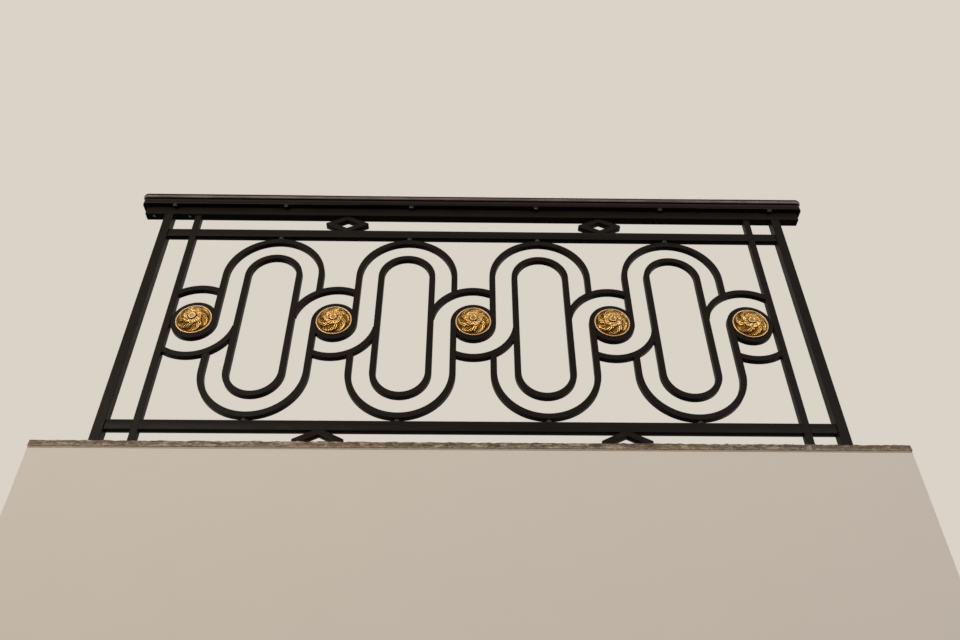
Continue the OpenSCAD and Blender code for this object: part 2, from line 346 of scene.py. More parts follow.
def gold_leaf():
    """Leaf gold on cast brass: bright on the ribs, redder beside them, brown and dull in the cuts.

    The redder and brown tones are painted shade as well as rubbed gold and dust.
    The plain rim and the button's ring are burnished, and look paler.
    """
    colours = bpy.context.scene.balcony_colours
    finish, add, place = new_finish("gold_leaf_on_cast_brass")
    cut = add("Attribute", attribute_name="cut_depth").outputs["Fac"]
    plain = add("Attribute", attribute_name="burnished").outputs["Fac"]
    # The casting sand left marks of 0.7 mm, and the leaf is rubbed in patches of 8 mm
    sand = add("TexNoise", {"Vector": place, "Scale": 1500.0, "Detail": 1.0})
    patches = add("TexNoise", {"Vector": place, "Scale": 130.0, "Detail": 3.0})
    # Just under the crown the gold turns redder: painted shade, added to the rubbed patches
    hollow_shade = add("MapRange", {0: cut, 1: 0.02, 2: 0.4, 4: 0.6})
    share = add("Math", {0: patches, 1: 0.7, 2: hollow_shade}, operation="MULTIPLY_ADD", use_clamp=True)
    rubbed = add("Mix", {0: share, 6: colours.gold, 7: colours.gold_red_rubbed_and_shaded}, data_type="RGBA")
    leaf = add("Mix", {0: plain, 6: rubbed, 7: colours.gold_pale}, data_type="RGBA")
    # Brown in the cuts: dust, and painted shade where the cuts lie deep
    grime_and_shade = add("MapRange", {0: cut, 1: 0.15, 2: 0.8, 4: 0.95})
    tone = add("Mix", {0: grime_and_shade, 6: leaf, 7: colours.gold_grime_and_shade}, data_type="RGBA")
    dull = add("MapRange", {0: cut, 3: 0.25, 4: 0.55})
    matt = add("MapRange", {0: plain, 4: 0.2})
    rough = add("Math", {0: dull, 1: matt}, operation="ADD")
    skin = add("Bump", {"Height": sand, "Strength": 0.3, "Distance": 0.1 * MM})
    shader = add("BsdfPrincipled", {
        "Base Color": tone, "Roughness": rough, "Normal": skin, "Metallic": 1.0})
    add("OutputMaterial", {"Surface": shader})
    return finish


def worn_marble():
    """Grey-brown breccia marble, sawn and worn: flat pieces in a dark net of veins, not polished.

    Its lowest 9 mm are paler.
    """
    colours = bpy.context.scene.balcony_colours
    finish, add, place = new_finish("worn_breccia_marble")
    # The stone is laid in bands along the sill: its pieces are 25 mm long and 7 mm high
    drawn = add("Mapping", {"Vector": place, "Scale": (40.0, 70.0, 140.0)})
    figure, pieces, veins = [
        add("TexNoise", {"Vector": drawn, "Scale": scale, "Detail": detail,
                         "Roughness": roughness, "Distortion": distortion})
        for scale, detail, roughness, distortion in (
            (1.0, 8.0, 0.75, 0.9), (0.6, 6.0, 0.65, 0.4), (0.8, 7.0, 0.6, 1.4))]
    # Its ground drifts from olive brown to violet grey over some 250 mm, with dark blotches
    drift = add("TexNoise", {"Vector": place, "Scale": 4.0, "Detail": 2.0})
    drifted = add("MapRange", {0: drift, 1: 0.42, 2: 0.58})
    body = add("Mix", {0: drifted, 6: colours.marble, 7: colours.marble_grey}, data_type="RGBA")
    blotches = add("MapRange", {0: figure, 1: 0.4, 2: 0.57})
    ground = add("Mix", {0: blotches, 6: colours.marble_dark, 7: body}, data_type="RGBA")
    # Pale pieces, and a paler haze over the lowest 9 mm
    pale = add("MapRange", {0: pieces, 1: 0.5, 2: 0.58, 4: 0.8})
    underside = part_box("sill")[0].z
    level = add("SeparateXYZ", {"Vector": place}).outputs["Z"]
    paler_bottom = add("MapRange", {0: level, 1: underside + 9 * MM, 2: underside, 4: 0.45})
    light = add("Math", {0: pale, 1: paler_bottom}, operation="MAXIMUM")
    pieced = add("Mix", {0: light, 6: ground, 7: colours.marble_cream}, data_type="RGBA")
    # The veins run where their noise crosses its middle value
    off_vein = add("Math", {0: veins, 1: 0.5}, operation="SUBTRACT")
    near_vein = add("Math", {0: off_vein}, operation="ABSOLUTE")
    vein = add("MapRange", {0: near_vein, 1: 0.04, 2: 0.01, 4: 0.9})
    tone = add("Mix", {0: vein, 6: pieced, 7: colours.marble_vein}, data_type="RGBA")
    # Saw marks and pits of 2 to 4 mm
    pits = add("TexNoise", {"Vector": place, "Scale": 320.0, "Detail": 4.0})
    worn = add("Bump", {"Height": pits, "Strength": 0.5, "Distance": 0.5 * MM})
    dull = add("MapRange", {0: figure, 1: 0.3, 2: 0.7, 3: 0.62, 4: 0.42})
    shader = add("BsdfPrincipled", {
        "Base Color": tone, "Roughness": dull, "Normal": worn, "IOR": 1.5,
        "Specular IOR Level": 0.4})
    add("OutputMaterial", {"Surface": shader})
    return finish


def bare_steel(name, pale, dull):
    """Steel of the screws, in spots of 1.5 mm of two tones, with a slightly rough skin."""
    finish, add, place = new_finish(name)
    spots = add("TexNoise", {"Vector": place, "Scale": 700.0, "Detail": 3.0})
    tone = add("Mix", {0: spots, 6: pale, 7: dull}, data_type="RGBA")
    marks = add("Bump", {"Height": spots, "Strength": 0.2, "Distance": 0.1 * MM})
    shader = add("BsdfPrincipled", {
        "Base Color": tone, "Roughness": 0.3, "Normal": marks, "Metallic": 1.0})
    add("OutputMaterial", {"Surface": shader})
    return finish


# What a user would change


def colour(name, description, hex_colour):
    """A colour in the panel, given as sRGB hex."""
    return bpy.props.FloatVectorProperty(name=name, description=description, subtype="COLOR",
                                         size=4, default=linear(hex_colour))


def distance(name, description, millimetres):
    """A length in the panel, given in millimetres."""
    return bpy.props.FloatProperty(name=name, description=description, subtype="DISTANCE",
                                   unit="LENGTH", precision=4, default=millimetres * MM)


class BalconyColours(bpy.types.PropertyGroup):
    """Colours of the finishes and of the stage."""

    enamel: colour("Enamel", "Black enamel of the ironwork", "120d0a")
    enamel_dust: colour("Dusty enamel", "Enamel where a little dust has settled", "1d1712")
    lacquer: colour("Lacquer", "Black-brown lacquer of the handrail's cap", "120a07")
    lacquer_light: colour("Lacquer on the grain", "Lacquer where the grain shows through",
                          "1c120d")
    # Painted reflection: the paler colour of the line along the cap's nosing
    lacquer_reflection: colour("Worn lacquer", "Lacquer that hands have rubbed thin along the nosing",
                         "857670")
    gold: colour("Gold", "Gold leaf of the rosettes", "f0d298")
    # Rubbed gold, and also the redder painted shade beside the ribs
    gold_red_rubbed_and_shaded: colour("Rubbed gold", "Gold where it is rubbed down to its red ground", "c29236")
    gold_pale: colour("Burnished gold", "Gold of the plain rims and of the buttons' rings",
                      "cfae86")
    # Brown dust and painted shade in the cuts, the button's foot and the groove inside the rim
    gold_grime_and_shade: colour("Grime in the gold", "Brown dust in the cuts between the leaves", "3c2404")
    marble: colour("Marble", "Olive brown ground of the marble", "7e6642")
    marble_grey: colour("Grey marble", "Ground of the marble where it is violet grey", "7d6a5a")
    marble_dark: colour("Dark marble", "Dark blotches of the marble", "403019")
    marble_cream: colour("Cream marble", "Pale pieces in the marble", "b8a58c")
    marble_vein: colour("Marble vein", "Dark veins between the marble's pieces", "2c1f15")
    steel: colour("Steel", "Zinc plating of the small screws", "c9cdd2")
    steel_dark: colour("Dull steel", "Spots where the plating has dulled", "8b8f94")
    tarnish: colour("Tarnished steel", "Worn steel of the screws under the handrail's cap",
                    "504c4a")
    tarnish_dark: colour("Dark tarnish", "Spots of old paint on those screws", "383533")
    backdrop: colour("Backdrop", "Plain backdrop behind the balcony", "dad3c8")
    mortar: colour("Mortar", "Lime mortar between the sill and the block", "b4a594")
    stage: colour("Stage", "Plain floor and the block under the sill", "cfc6ba")


class BalconyRosettes(bpy.types.PropertyGroup):
    """Sizes of the rosettes' carving."""

    leaves: bpy.props.IntProperty(
        name="Leaves", description="Leaves in each of the two tiers", default=6, min=3, max=9)
    lobes: bpy.props.IntProperty(
        name="Lobes", description="Lobes along each side of a large leaf", default=4, min=2, max=9)
    button_radius: distance("Button radius", "Radius of the round button in the middle", 12.5)
    rim_width: distance("Rim width", "Width of the plain half round rim", 5)
    root_height: distance("Root height", "Height of the leaves over the ring, at the button", 20)
    tip_height: distance("Tip height", "Height of the leaves over the ring, at their tips", 4.5)
    bar_half: distance("Half bar", "Half the depth of the ring that a rosette fills", 10)


class BalconyFittings(bpy.types.PropertyGroup):
    """Sizes of the rails, the lozenges, the handrail's cap, the screws and the sill's wear."""

    rail_height: distance("Rail height", "Height of the rails' flat bar", 34)
    rail_depth: distance("Rail depth", "Depth of the rails' and of the lozenges' bar", 22)
    lozenge_hole: distance("Lozenge hole", "Width of a lozenge's diamond shaped hole", 80)
    cap_face: distance("Cap face", "Height of the cap's plain face under the nosing", 21.5)
    nose_radius: distance("Nosing radius", "Radius of the round nosing", 14)
    nose_overhang: distance("Nosing overhang", "How far the nosing stands out from the face", 5)
    cap_past_bar: distance("Cap past the bar", "How far the cap's ends pass those of the flat bar",
                           15.5)
    cap_screw_radius: distance("Cap screw radius", "Radius of the washers under the cap", 8.8)
    bar_screw_radius: distance("Bar screw radius", "Radius of the screws under the flat bar", 4.5)
    chip_depth: distance("Chip depth", "Depth of the largest chips in the sill's upper edges", 2.4)
    chip_width: distance("Chip width", "Usual width of a chip in the sill's upper edges", 16)


# The pieces


def carved_tier(u, turns, r, leaves, lobes, lift):
    """The height of a tier of leaves over the rosette's dome, in millimetres.

    u runs from the leaves' roots, 0, to their tips, 1, and turns counts leaves round the
    rosette. Each leaf leans over its neighbour. Its edges are cut into lobes with a rib
    each, and a drilled eye ends each cut.
    """
    # Heights in millimetres, and where along its length a leaf is widest
    lean, tip_curl, notch, rib, furrow, drill = 1.7, 2.2, 3.0, 1.1, 1.6, 2.2
    rib_width, furrow_width, furrow_place = 1.2, 1.1, 2.6
    widest = 0.6
    along = np.clip(u, 0, 1)
    taper = np.sqrt(np.clip(1 - ((along - widest) / 0.405) ** 2, 0.02, 1))
    width = 1.15 * np.where(along < widest, 1, taper)
    length = r.max() - r.min()
    highest = np.full(u.shape, -math.inf)
    for neighbour in (-1, 0, 1):
        across = (turns - np.floor(turns) - 0.5 + neighbour) * 2 / width
        side = np.abs(across)
        half = width * math.pi * r / leaves
        cut = lobes * (along ** 0.9 - 0.75 * side) + 0.25 * np.sign(across)
        crest = np.abs(np.sin(math.pi * cut))
        edge = 1 - 0.3 * (1 - crest) ** 1.4
        height = lift + (1 - side ** 2) + lean * across
        height += tip_curl * np.clip((along - 0.75) / 0.25, 0, 1) ** 2
        height -= notch * side ** 0.4 * (1 - crest) ** 1.2
        midrib = np.exp(-((side * half / rib_width) ** 2))
        channel = np.exp(-(((side * half - furrow_place) / furrow_width) ** 2))
        height += (rib * midrib - furrow * channel) * (1 - along) ** 0.3
        eye = ((cut - np.round(cut)) * length / lobes / 1.2) ** 2
        eye += ((side - 0.5) * half / 1.8) ** 2
        height -= drill * np.exp(-eye)
        # Past its outline the leaf falls off steeply
        height -= 5.0 * np.clip((side - edge) * half, 0, 3)
        height -= 6.0 * np.clip((u - 1) * length, 0, 3)
        highest = np.maximum(highest, height)
    return highest


def turned_profile(sizes, radius, rows):
    """The turned half section of a rosette's face, as radius and height over the ring, in mm."""
    button = sizes.button_radius / MM
    root = sizes.root_height / MM
    tip = sizes.tip_height / MM
    rim = sizes.rim_width / MM / 2
    plate, lip, gap = 2.0, 4.3, 2.5
    top = root + 4.5
    # The button's hollow and its round shoulder, down to the leaves' roots
    section = [(0.0, top - 1.0), (1.5, top - 1.1), (3.0, top - 1.5), (5.0, top - 1.7)]
    section += [(button - 5.6, top - 1.2), (button - 4.9, top - 0.4), (button - 4.0, top)]
    section += [(button - 2.6 + 2.6 * math.sin(t), top - 2.2 + 2.2 * math.cos(t))
                for t in (0.3, 0.7, 1.1, 1.5)]
    section += [(button - 0.2, top - 4.0), (button - 0.4, root - 2.5), (button + 0.3, root - 3.0)]
    # The dome that is carved, the rim's half round, and its lip on the ring
    inner, outer = button + 0.7, radius - 2 * rim - gap
    for row in range(rows):
        u = row / (rows - 1)
        section.append((inner + (outer - inner) * u, tip + (root - tip) * (1 - u ** 1.7)))
    section += [(outer + 0.6, plate + 0.2), (radius - 2 * rim - 0.5, plate)]
    section += [(radius - rim - rim * math.cos(t), plate + rim * math.sin(t))
                for t in np.linspace(0, math.pi, 9)]
    section += [(radius, 0.0), (radius - lip, 0.0)]
    return section, inner, outer


class BALCONY_OT_rosettes(bpy.types.Operator):
    """Turn and carve one gilded rosette, and set a copy in each of the five rings"""

    bl_idname = "balcony.rosettes"
    bl_label = "Gilded rosettes"

    columns: bpy.props.IntProperty(name="Columns", description="Steps of the turning", default=288)
    rows: bpy.props.IntProperty(name="Rows", description="Rows of the carving", default=54)

    def turn_blank(self, sizes, radius):
        """Draws the half section from one point and spins it about the rosette's axis."""
        section, inner, outer = turned_profile(sizes, radius, self.rows)
        ring = sizes.bar_half / MM
        points = [Vector((r, -(ring + h), 0)) * MM for r, h in section]
        points.append(Vector((section[-1][0], 0, 0)) * MM)
        start_afresh()
        bpy.ops.mesh.primitive_plane_add(size=MM, location=points[0])
        face = opened("rosette_face")
        pick(face, "VERT", lambda place: True)
        bpy.ops.mesh.merge(type="CENTER")
        for here, there in zip(points, points[1:]):
            bpy.ops.mesh.extrude_region_move(TRANSFORM_OT_translate={"value": there - here})
        bpy.ops.mesh.select_all(action="SELECT")
        bpy.ops.mesh.spin(steps=self.columns, angle=2 * math.pi, center=(0, 0, 0), axis=(0, 1, 0))
        close_up(face)
        return face, inner, outer

    def carve(self, face, sizes, inner, outer):
        """Swings the rows of the dome round by one leaf, and cuts two tiers of leaves in it."""
        count = len(face.data.vertices)
        points = np.empty(count * 3)
        face.data.vertices.foreach_get("co", points)
        points = points.reshape(-1, 3) / MM
        ring = sizes.bar_half / MM
        r = np.hypot(points[:, 0], points[:, 2])
        angle = np.arctan2(points[:, 2], points[:, 0])
        u = (r - inner) / (outer - inner)
        dome = (u > -0.001) & (u < 1.001)
        leaf = 2 * math.pi / sizes.leaves
        swung = angle - leaf * np.clip(u, 0, 1) ** 1.25
        turns = angle[dome] / leaf
        along = u[dome]
        radius = r[dome]
        tip, root = sizes.tip_height / MM, sizes.root_height / MM
        crown = tip + (root - tip) * (1 - along ** 1.7)
        # The small leaves are less than half as long, and stand in the gaps of the large ones
        large = carved_tier(along, turns, radius, sizes.leaves, sizes.lobes, -1.4)
        small = carved_tier(along / 0.44, turns + 0.5, radius, sizes.leaves, 3, 1.6)
        relief = np.maximum(np.maximum(large, small), -5.0) * np.clip(along / 0.06, 0.15, 1)
        height = np.maximum(crown + relief, 2.2)
        points[:, 0] = r * np.cos(swung)
        points[:, 2] = r * np.sin(swung)
        points[dome, 1] = -(ring + height)
        # How deep each point lies under the crown; the gold's dust and painted shade follow it
        depth = np.zeros(count)
        depth[dome] = np.clip((crown + 0.4 - height) / 4.5, 0, 1)
        # The groove inside the rim gets full painted shade
        groove = (u >= 1.001) & (points[:, 1] > -(ring + 2.4)) & (r < outer + 2.4)
        depth[groove] = 1.0
        face.data.vertices.foreach_set("co", (points * MM).ravel())
        # The button's hollow gets a little dust and painted shade, its foot full painted shade, and
        # its ring and the rim are burnished
        button = sizes.button_radius / MM
        depth[r < button - 5] = 0.45
        depth[(r > button - 0.6) & (u < -0.001)] = 1.0
        plain = (r > outer + 2.4) | ((r > button - 4.6) & (r < button - 0.6))
        for name, values in (("cut_depth", depth), ("burnished", plain.astype(float))):
            attribute = face.data.attributes.new(name, "FLOAT", "POINT")
            attribute.data.foreach_set("value", values)
        face.data.update()

    def execute(self, context):
        sizes = context.scene.balcony_rosettes
        radius = half_size(ROSETTES[0]).x / MM
        face, inner, outer = self.turn_blank(sizes, radius)
        self.carve(face, sizes, inner, outer)
        back = copy_of(face, "rosette_back", Matrix.Rotation(math.pi, 4, "Z"))
        rosette = joined([face, back], "gilded_rosette")
        close_up(rosette, 50)
        finish = gold_leaf()
        # Each one was screwed home at its own angle
        for node, turned in zip(ROSETTES, (0, 33, 41, 9, 4)):
            place = Matrix.Translation(middle(node)) @ Matrix.Rotation(math.radians(turned), 4, "Y")
            copy = copy_of(rosette, "gilded_" + node, place)
            part_of_balcony(copy, "gilt", finish, node)
        bpy.data.objects.remove(rosette)
        return {"FINISHED"}


def rounded_slab(name, half_x, half_y, bottom, top, corner, rounding):
    """A slab with round corners in plan, and its upper and lower edges rounded too."""
    thick = top - bottom
    slab = block(name, (0, 0, (bottom + top) / 2), (2 * half_x, 2 * half_y, thick))
    pick(slab, "EDGE", lambda a, b: abs(a.z - b.z) > thick / 2)
    bpy.ops.mesh.bevel(offset=corner, segments=8, affect="EDGES")
    pick(slab, "EDGE", lambda a, b: abs(a.z - b.z) < thick / 2)
    bpy.ops.mesh.bevel(offset=rounding, segments=8 if rounding > 2 * MM else 2, affect="EDGES")
    close_up(slab)
    return slab


class BALCONY_OT_cap(bpy.types.Operator):
    """Shape the handrail's wooden cap: a plain face, a quirk, a round nosing and a crowned top"""

    bl_idname = "balcony.cap"
    bl_label = "Handrail cap"

    def execute(self, context):
        fittings = context.scene.balcony_fittings
        low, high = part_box("handrail_cap")
        half_x = high.x + fittings.cap_past_bar
        half_y = high.y
        corner = 15 * MM
        quirk_high, quirk_deep = 2 * MM, 3 * MM
        let_in = 4 * MM
        face_top = low.z + fittings.cap_face
        under_nose = face_top + quirk_high
        over_nose = under_nose + 2 * fittings.nose_radius
        nose_x, nose_y = half_x + fittings.nose_overhang, half_y + fittings.nose_overhang
        rounding = 0.98 * fittings.nose_radius
        face = rounded_slab("cap_face", half_x, half_y, low.z, face_top, corner, 1.2 * MM)
        # The neck leaves the quirk open, and is let into the face and into the nosing
        neck = rounded_slab("cap_neck", half_x - quirk_deep, half_y - quirk_deep,
                            face_top - let_in, under_nose + let_in,
                            corner - quirk_deep, 0.5 * MM)
        nosing = rounded_slab("cap_nosing", nose_x, nose_y, under_nose, over_nose,
                              corner + fittings.nose_overhang, rounding)
        # The top is crowned across, and falls away over the last 40 mm at its ends
        flat_x, flat_y = nose_x - rounding, nose_y - rounding
        fall = 40 * MM
        reopened(nosing)
        cut_across(Y, [y * MM for y in (-20, -10, 0, 10, 20)])
        cut_across(X, [side * (flat_x - back * MM) for back in (5, 12, 24, 40)
                       for side in (-1, 1)])
        start_afresh()
        for vert in nosing.data.vertices:
            if vert.co.z > over_nose - 0.01 * MM:
                inward = min(1.0, max(0.0, (flat_x - abs(vert.co.x)) / fall))
                across = max(0.0, 1 - (vert.co.y / flat_y) ** 2)
                vert.co.z += (high.z - over_nose) * across * (1 - (1 - inward) ** 2)
        close_up(nosing)
        part_of_balcony(joined([face, neck, nosing], "moulded_cap"), "handrail_wood",
                        handrail_lacquer(), "handrail_cap")
        return {"FINISHED"}


class BALCONY_OT_cap_screws(bpy.types.Operator):
    """Make the domed screws with oval washers that hold the handrail's cap from below"""

    bl_idname = "balcony.cap_screws"
    bl_label = "Cap screws"

    def execute(self, context):
        radius = context.scene.balcony_fittings.cap_screw_radius
        # A turned washer with a rounded edge
        washer = disc("washer", 48, radius, 2 * MM)
        bpy.ops.mesh.inset(thickness=1.2 * MM, depth=0.8 * MM)
        bpy.ops.mesh.inset(thickness=0.8 * MM)
        close_up(washer)
        # The screw's head is half a ball pressed flat on the washer, with a slot sawn in it
        seat = (0, 0, -2.4 * MM)
        start_afresh()
        bpy.ops.mesh.primitive_uv_sphere_add(segments=48, ring_count=24, radius=0.68 * radius,
                                             location=seat)
        head = opened("head")
        bpy.ops.transform.resize(value=(1, 1, 0.72), center_override=seat)
        bpy.ops.mesh.bisect(plane_co=seat, plane_no=(0, 0, 1), use_fill=True, clear_outer=True)
        close_up(head)
        cut_out(head, block("slot", (0, 0, -7.2 * MM), (3 * radius, 1.3 * MM, 2.6 * MM)))
        screw = joined([washer, head], "cap_screw")
        ease(screw, 0.25 * MM, 40)
        close_up(screw, 30)
        # They stand halfway between the flat bar's face and the cap's, on both sides
        across = (half_size("handrail_cap").y + half_size("handrail_bar").y) / 2
        under_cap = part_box("handrail_cap")[0].z
        from_post = 16 * MM
        places = [middle(loop).x for loop in LOOPS]
        places += [middle("outer_post_left").x + from_post,
                   middle("outer_post_right").x - from_post]
        # The washers are oval, longer along the rail, and stand well down from the cap
        oval = Matrix.Diagonal((1.4, 1.0, 1.5, 1.0))
        screws = []
        for number, x in enumerate(sorted(places)):
            for side in (-1, 1):
                turned = Matrix.Rotation(math.radians(37 * number + 11 * side), 4, "Z")
                place = Matrix.Translation((x, side * across, under_cap)) @ oval @ turned
                screws.append(copy_of(screw, "screw_%d_%d" % (number, side), place))
        bpy.data.objects.remove(screw)
        colours = context.scene.balcony_colours
        part_of_balcony(joined(screws, "cap_screws"), "iron",
                        bare_steel("tarnished_steel", colours.tarnish, colours.tarnish_dark))
        return {"FINISHED"}


class BALCONY_OT_bar_screws(bpy.types.Operator):
    """Make the small cross headed screws under the ends of the flat bar"""

    bl_idname = "balcony.bar_screws"
    bl_label = "Flat bar screws"

    def execute(self, context):
        radius = context.scene.balcony_fittings.bar_screw_radius
        screw = disc("bar_screw", 32, radius, 1.2 * MM)
        bpy.ops.mesh.inset(thickness=1.0 * MM, depth=0.7 * MM)
        bpy.ops.mesh.inset(thickness=0.9 * MM, depth=0.3 * MM)
        close_up(screw)
        for turned in (0, 90):
            cut_out(screw, block("driver", (0, 0, -2.1 * MM),
                                 (1.1 * radius, 0.9 * MM, 2.2 * MM), math.radians(turned)))
        close_up(screw, 30)
        under_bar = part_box("handrail_bar")[0].z
        forward = -6 * MM
        colours = context.scene.balcony_colours
        plated = bare_steel("zinc_plated_steel", colours.steel, colours.steel_dark)
        # One stands outside the outer post, and one between the posts
        places = [middle("outer_post_left").x - 55 * MM, middle("inner_post_left").x - 33 * MM]
        for side, name, finish in ((1, "left", plated), (-1, "right", black_enamel())):
            pair = [copy_of(screw, "bar_screw",
                            Matrix.Translation((side * x, forward, under_bar))) for x in places]
            part_of_balcony(joined(pair, "bar_screws_" + name), "iron", finish)
        bpy.data.objects.remove(screw)
        return {"FINISHED"}


class BALCONY_OT_rails(bpy.types.Operator):
    """Set the two rails' flat bars between the posts, with eased edges"""

    bl_idname = "balcony.rails"
    bl_label = "Rails"

    def execute(self, context):
        fittings = context.scene.balcony_fittings
        posts = [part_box(name) for name in ("outer_post_left", "inner_post_left",
                                           "inner_post_right", "outer_post_right")]
        finish = black_enamel()
        for rail in RAILS:
            lengths = []
            for post, next_post in zip(posts, posts[1:]):
                start, end = post[1].x, next_post[0].x
                length = block("rail_length", ((start + end) / 2, 0, middle(rail).z),
                               (end - start, fittings.rail_depth, fittings.rail_height))
                pick(length, "EDGE", lambda a, b: abs(a.x - b.x) > 10 * MM)
                bpy.ops.mesh.bevel(offset=1.5 * MM, segments=2, affect="EDGES")
                close_up(length)
                lengths.append(length)
            part_of_balcony(joined(lengths, "flat_" + rail), "iron", finish, rail)
        return {"FINISHED"}


class BALCONY_OT_lozenges(bpy.types.Operator):
    """Cut the four lozenges, each a ring of square bar with blunt corners"""

    bl_idname = "balcony.lozenges"
    bl_label = "Lozenges"

    def execute(self, context):
        fittings = context.scene.balcony_fittings
        half = half_size(LOZENGES[0])
        tip, seat = 4 * MM, 7 * MM
        corners = [(half.x, -tip), (half.x, tip), (seat, half.z), (-seat, half.z),
                   (-half.x, tip), (-half.x, -tip), (-seat, -half.z), (seat, -half.z)]
        lozenge = prism("lozenge", corners, fittings.rail_depth)
        # The hole's sides run parallel to the outside
        wide = fittings.lozenge_hole / 2
        tall = wide * (half.z - tip) / (half.x - seat)
        cut_out(lozenge, prism("hole", [(wide, 0), (0, tall), (-wide, 0), (0, -tall)],
                               4 * fittings.rail_depth))
        ease(lozenge, 1.2 * MM, 20)
        close_up(lozenge, 30)
        finish = black_enamel()
        for node in LOZENGES:
            copy = copy_of(lozenge, "forged_" + node, Matrix.Translation(middle(node)))
            part_of_balcony(copy, "iron", finish, node)
        bpy.data.objects.remove(lozenge)
        return {"FINISHED"}


class BALCONY_OT_sill(bpy.types.Operator):
    """Saw the marble sill, ease its upper edges and chip them"""

    bl_idname = "balcony.sill"
    bl_label = "Marble sill"

    def execute(self, context):
        fittings = context.scene.balcony_fittings
        low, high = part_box("sill")
        sill = block("marble_sill", (low + high) / 2, high - low)
        front, back, top = low.y, high.y, high.z
        pick(sill, "EDGE", lambda a, b: min(a.z, b.z) > top - MM and abs(a.y - b.y) < MM)
        bpy.ops.mesh.bevel(offset=2.5 * MM, segments=3, affect="EDGES")
        # Rows along the faces and the strips in front of and behind the posts, and 6 mm steps
        cut_across(Z, [level * MM for level in (4, 8, 12, 15)])
        cut_across(Y, [y for depth in (4, 7, 11, 16, 24)
                       for y in (front + depth * MM, back - depth * MM)])
        for _ in range(2):
            pick(sill, "EDGE", lambda a, b: abs(a.x - b.x) > 5 * MM)
            bpy.ops.mesh.subdivide(number_cuts=19)
        start_afresh()
        edge = sill.vertex_groups.new(name="broken_edge")
        face = sill.vertex_groups.new(name="sawn_face")
        reach = 14 * MM
        for vert in sill.data.vertices:
            from_front = min(vert.co.y - front, back - vert.co.y)
            near = max(0.0, 1 - math.hypot(from_front, top - vert.co.z) / reach)
            edge.add([vert.index], near ** 0.7, "REPLACE")
            if from_front < 2.6 * MM and vert.co.z > MM:
                face.add([vert.index], 1.0, "REPLACE")
        # The edges break in large chips, and the faces keep shallow saw marks of 7 mm
        for group, width, detail, contrast, intensity, deep in (
                ("broken_edge", fittings.chip_width, 3, 2.6, 1.25, fittings.chip_depth),
                ("sawn_face", 7 * MM, 2, 1.0, 1.0, 0.8 * MM)):
            clouds = bpy.data.textures.new(group, "CLOUDS")
            clouds.noise_scale, clouds.noise_depth = width, detail
            clouds.contrast, clouds.intensity = contrast, intensity
            finished(sill, "DISPLACE", texture=clouds, vertex_group=group, mid_level=1.0,
                     strength=deep)
        # Nothing stands proud of the sawn block
        for vert in sill.data.vertices:
            for axis in (X, Y, Z):
                vert.co[axis] = min(max(vert.co[axis], low[axis]), high[axis])
        close_up(sill, 45)
        part_of_balcony(sill, "marble", worn_marble(), "sill")
        return {"FINISHED"}


class BALCONY_OT_paint(bpy.types.Operator):
    """Paint the ironwork"""

    bl_idname = "balcony.paint"
    bl_label = "Paint"

    def execute(self, context):
        enamel = black_enamel()
        smooth_enamel = black_enamel("smooth_enamel_on_collars", 0.3, 0.12)
        made_here = ROSETTES + LOZENGES + RAILS + ["sill", "handrail_cap"]
        for name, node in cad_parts.items():
            if name not in made_here:
                painted(node, smooth_enamel if name in COLLARS else enamel)
        return {"FINISHED"}


